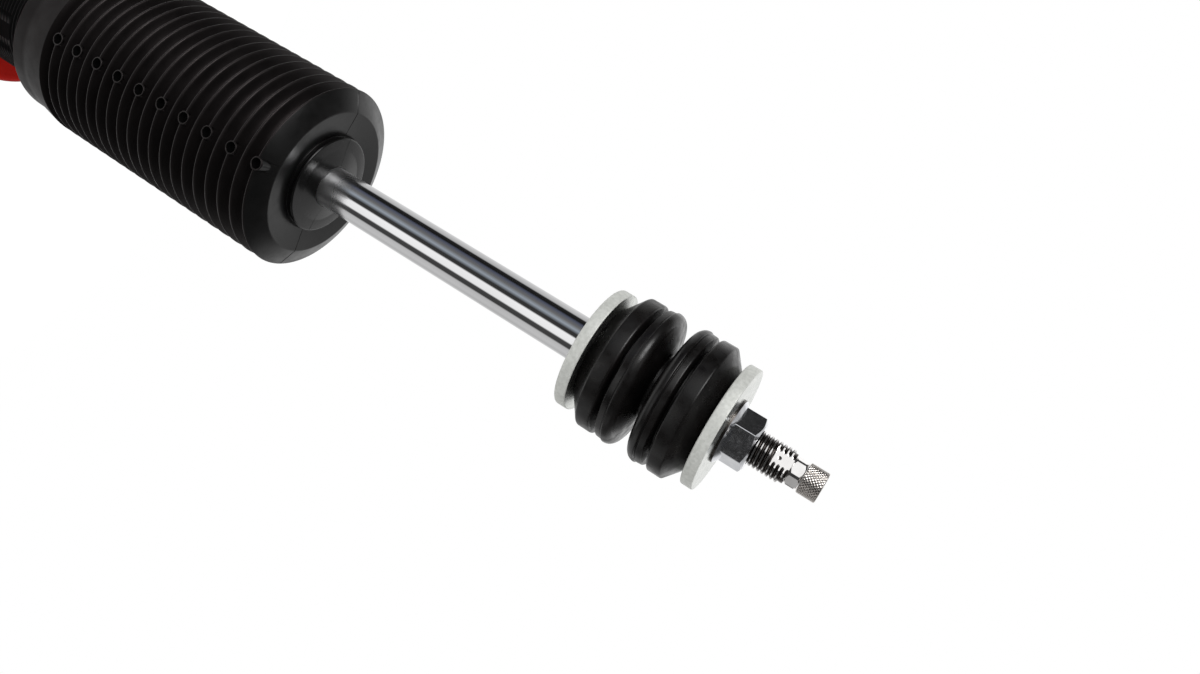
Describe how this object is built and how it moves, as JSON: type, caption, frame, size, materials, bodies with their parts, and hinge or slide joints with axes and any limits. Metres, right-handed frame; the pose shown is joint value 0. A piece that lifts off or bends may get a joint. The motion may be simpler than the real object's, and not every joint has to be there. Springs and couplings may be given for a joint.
{
  "type": "coilover damper",
  "caption": "Height-adjustable coilover damper with threaded tube, red lock ring, bellows dust boot, chromed rod, rubber mount bushings and a knurled damping adjuster.",
  "frame": {"origin": "centre of the lower eye's bore", "axes": "+Z along the damper towards the rod end and the adjuster, +Y along the lower eye's bore"},
  "size_m": [0.0626, 0.0626, 0.5543],
  "materials": {
    "bracket_paint": "satin dark grey coating on steel",
    "eye_rubber": "matte black",
    "sleeve_steel": "zinc plated",
    "ring_red": "satin red anodised",
    "tube_steel": "bright zinc plated, threaded",
    "rod_chrome": "ground and hard chromed",
    "washer_zinc": "light zinc plating",
    "nut_zinc": "bright zinc plating",
    "bushing_rubber": "matte black with a dull sheen",
    "boot_rubber": "matte black moulded",
    "cap_plastic": "moulded",
    "stop_foam": "cellular polyurethane",
    "alloy": "turned",
    "valve_brass": "turned",
    "bush_bronze": "sintered bronze",
    "seal_rubber": "smooth",
    "clip_steel": "dark spring steel",
    "inner_steel": "ground",
    "band_plastic": "filled sliding plastic",
    "knob_nickel": "nickel plated, knurled"
  },
  "bodies": {
    "bracket": {"lower_bracket": "bracket_paint", "eye_bush": "eye_rubber"},
    "eye_sleeve": {"eye_sleeve": "sleeve_steel"},
    "lock_ring": {"lock_ring": "ring_red"},
    "damper": {"damper_tube": "tube_steel", "base_plug": "alloy", "base_o_ring": "seal_rubber", "gas_valve": "valve_brass", "rod_guide": "alloy", "guide_bush": "bush_bronze", "rod_seal": "seal_rubber", "wiper_seal": "seal_rubber", "guide_o_ring": "seal_rubber", "retaining_ring": "clip_steel", "bump_cap": "cap_plastic", "bump_stop": "stop_foam", "dust_boot": "boot_rubber"},
    "rod": {"piston_rod": "rod_chrome", "rebound_bumper": "seal_rubber", "stop_washer": "inner_steel", "compression_shims": "inner_steel", "piston": "inner_steel", "piston_band": "band_plastic", "rebound_shims": "inner_steel", "piston_nut": "inner_steel", "lower_washer": "washer_zinc", "lower_bushing": "bushing_rubber", "spacer_sleeve": "inner_steel", "upper_bushing": "bushing_rubber", "upper_washer": "washer_zinc", "top_nut": "nut_zinc"},
    "floating_piston": {"floating_piston": "alloy", "floating_o_ring": "seal_rubber"},
    "adjuster_knob": {"adjuster_knob": "knob_nickel"},
    "adjuster_needle": {"adjuster_needle": "inner_steel"}
  },
  "joints": [
    {"name": "eye_twist", "type": "hinge", "parent": "bracket", "child": "eye_sleeve", "pos_m": [0, 0, 0], "axis": [0, 1, 0], "range_deg": [-15, 15], "stiffness_Nm_per_rad": 0.1},
    {"name": "lock_ring_travel", "type": "slide", "parent": "bracket", "child": "lock_ring", "axis": [0, 0, 1], "range_m": [0, 0.025]},
    {"name": "height_adjust", "type": "slide", "parent": "bracket", "child": "damper", "axis": [0, 0, 1], "range_m": [0, 0.05]},
    {"name": "rod_slide", "type": "slide", "parent": "damper", "child": "rod", "axis": [0, 0, 1], "range_m": [-0.11, 0], "stiffness_N_per_m": 860, "springref_m": 0.123, "deforming": ["dust_boot"]},
    {"name": "floating_piston_slide", "type": "slide", "parent": "damper", "child": "floating_piston", "axis": [0, 0, 1], "range_m": [-0.01436, 0]},
    {"name": "knob_turn", "type": "hinge", "parent": "rod", "child": "adjuster_knob", "pos_m": [0, 0, 0.53], "axis": [0, 0, 1], "range_deg": [0, 721]},
    {"name": "needle_slide", "type": "slide", "parent": "rod", "child": "adjuster_needle", "axis": [0, 0, 1], "range_m": [0, 0.0016]}
  ],
  "couplings": [
    {"joint": "floating_piston_slide", "follows": "rod_slide", "ratio": 0.1304},
    {"joint": "knob_turn", "follows": "needle_slide", "rad_per_m": 7854}
  ]
}
